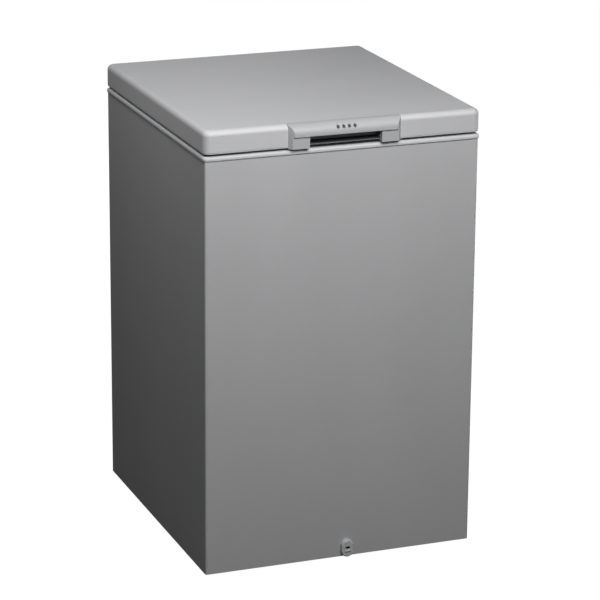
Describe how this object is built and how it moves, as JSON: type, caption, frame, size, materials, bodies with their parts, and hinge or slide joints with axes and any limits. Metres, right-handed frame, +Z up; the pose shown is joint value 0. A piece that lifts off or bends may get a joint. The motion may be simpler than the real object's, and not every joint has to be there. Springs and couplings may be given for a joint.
{
  "type": "chest freezer",
  "caption": "Small upright-proportioned chest freezer with a foamed cabinet, counterbalanced top lid with front grip, front drain outlet and rear condenser.",
  "frame": {"origin": "on the floor under the centre of the overall box", "axes": "+Z up, the front with the lid grip faces -Y, +X is the right side seen from the front"},
  "size_m": [0.541, 0.6305, 0.865],
  "materials": {
    "silver_paint": "silver-grey metallic paint",
    "trim_grey": "smooth grey plastic",
    "handle_grey": "satin silver-grey plastic",
    "dark_plastic": "black textured plastic",
    "soft_rubber": "grey-black rubber",
    "white_liner": "white stucco aluminium",
    "white_plastic": "white plastic",
    "galvanised": "galvanised sheet",
    "zinc": "zinc-plated steel",
    "black_enamel": "black enamel",
    "copper": "copper tube",
    "foam": "rigid polyurethane foam",
    "basket_white": "white plastic-coated wire",
    "lens_green": "clear green lens",
    "lens_amber": "clear amber lens",
    "lens_red": "clear red lens"
  },
  "bodies": {
    "cabinet": {"base_panel": "galvanised", "bay_liner": "galvanised", "bay_rear_cover": "galvanised", "cabinet_foam": "foam", "cabinet_wrap": "silver_paint", "capillary_tube": "copper", "compressor_bolts": "zinc", "compressor_grommets": "soft_rubber", "compressor_shell": "black_enamel", "compressor_tray": "galvanised", "condenser_brackets": "white_plastic", "condenser_tube": "black_enamel", "condenser_wires": "black_enamel", "control_panel": "trim_grey", "cord_gland": "dark_plastic", "cover_screws": "zinc", "discharge_pipe": "copper", "drain_spout": "trim_grey", "drain_tube": "white_plastic", "evaporator_coil": "copper", "filter_drier": "copper", "hinge_body_screws": "zinc", "hinge_guides": "white_plastic", "hinge_pins": "zinc", "hinge_springs": "zinc", "inner_liner": "white_liner", "lamp_amber": "lens_amber", "lamp_green": "lens_green", "lamp_red": "lens_red", "left_hinge_body": "zinc", "levelling_feet": "dark_plastic", "rear_panel": "galvanised", "right_hinge_body": "zinc", "side_grille": "trim_grey", "suction_pipe": "copper", "terminal_cover": "dark_plastic", "thermostat_body": "white_plastic", "top_frame": "trim_grey", "wall_spacers": "dark_plastic"},
    "lid": {"handle_pocket": "dark_plastic", "hinge_leaf_screws": "zinc", "left_hinge_leaf": "zinc", "lid_foam": "foam", "lid_frame": "trim_grey", "lid_gasket": "soft_rubber", "lid_handle": "handle_grey", "lid_inner_panel": "white_liner", "lid_skin": "silver_paint", "right_hinge_leaf": "zinc", "star_badge": "dark_plastic"},
    "knob": {"thermostat_knob": "dark_plastic"},
    "basket_body": {"basket": "basket_white"},
    "plug": {"drain_plug": "white_plastic"},
    "plungers": {"hinge_plungers": "white_plastic"}
  },
  "joints": [
    {"name": "lid_hinge", "type": "hinge", "parent": "cabinet", "child": "lid", "pos_m": [0, 0.312, 0.826], "axis": [-1, 0, 0], "range_deg": [0, 80]},
    {"name": "plunger_slide", "type": "slide", "parent": "cabinet", "child": "plungers", "axis": [0, 0, 1], "range_m": [0, 0.0169], "deforming": ["hinge_springs"]},
    {"name": "thermostat_turn", "type": "hinge", "parent": "cabinet", "child": "knob", "pos_m": [0.268, 0.15, 0.19], "axis": [1, 0, 0], "range_deg": [0, 270]},
    {"name": "basket_slide", "type": "slide", "parent": "cabinet", "child": "basket_body", "axis": [1, 0, 0], "range_m": [-0.095, 0.095]},
    {"name": "drain_plug_pull", "type": "slide", "parent": "cabinet", "child": "plug", "axis": [0, 0, 1], "range_m": [0, 0.02]}
  ],
  "couplings": [
    {"joint": "plunger_slide", "follows": "lid_hinge", "m_per_rad": 0.01197}
  ]
}
